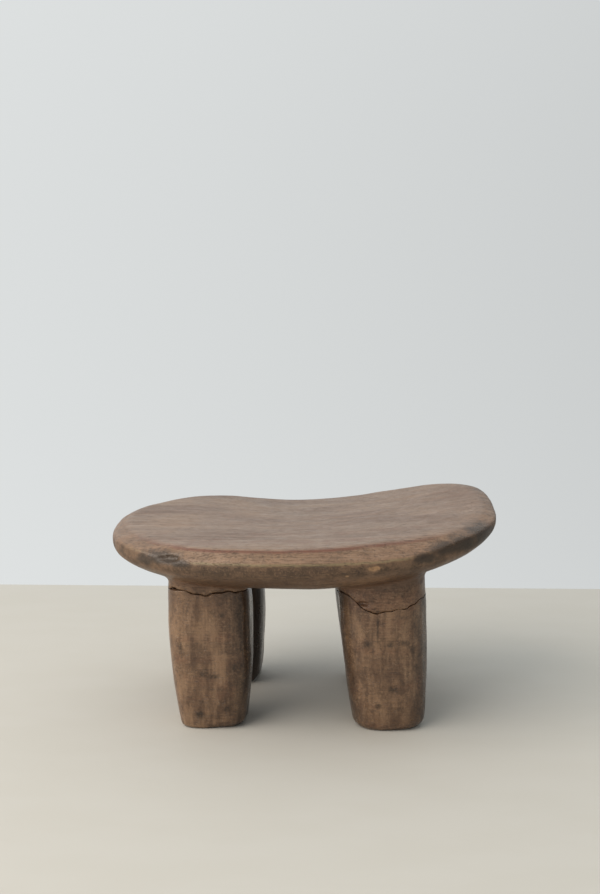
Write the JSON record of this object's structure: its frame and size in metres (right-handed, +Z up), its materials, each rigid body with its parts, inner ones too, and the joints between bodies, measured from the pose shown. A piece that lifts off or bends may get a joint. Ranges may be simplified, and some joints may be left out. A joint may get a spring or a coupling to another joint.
{
  "type": "carved wooden headrest",
  "caption": "Low carved wooden headrest: a thick dished seat with upswept ends on stout, swelling, rounded-square legs that were broken at the neck and set back.",
  "frame": {"origin": "on the ground under the middle of the seat's box", "axes": "+X along the seat to its higher, right-hand end, +Y from the front edge to the back edge, +Z up"},
  "size_m": [0.2871, 0.208, 0.1595],
  "materials": {
    "carved_wood": "aged, hand rubbed, satin",
    "dowel_wood": "bare turned beech",
    "wood_glue": "dried brown glue film"
  },
  "bodies": {
    "root": {"seat": "carved_wood", "front_left_leg": "carved_wood", "front_right_leg": "carved_wood", "rear_left_leg": "carved_wood", "rear_right_leg": "carved_wood", "front_left_dowel": "dowel_wood", "front_right_dowel": "dowel_wood", "rear_left_dowel": "dowel_wood", "rear_right_dowel": "dowel_wood", "front_left_glue": "wood_glue", "front_right_glue": "wood_glue", "rear_left_glue": "wood_glue", "rear_right_glue": "wood_glue"}
  },
  "joints": []
}
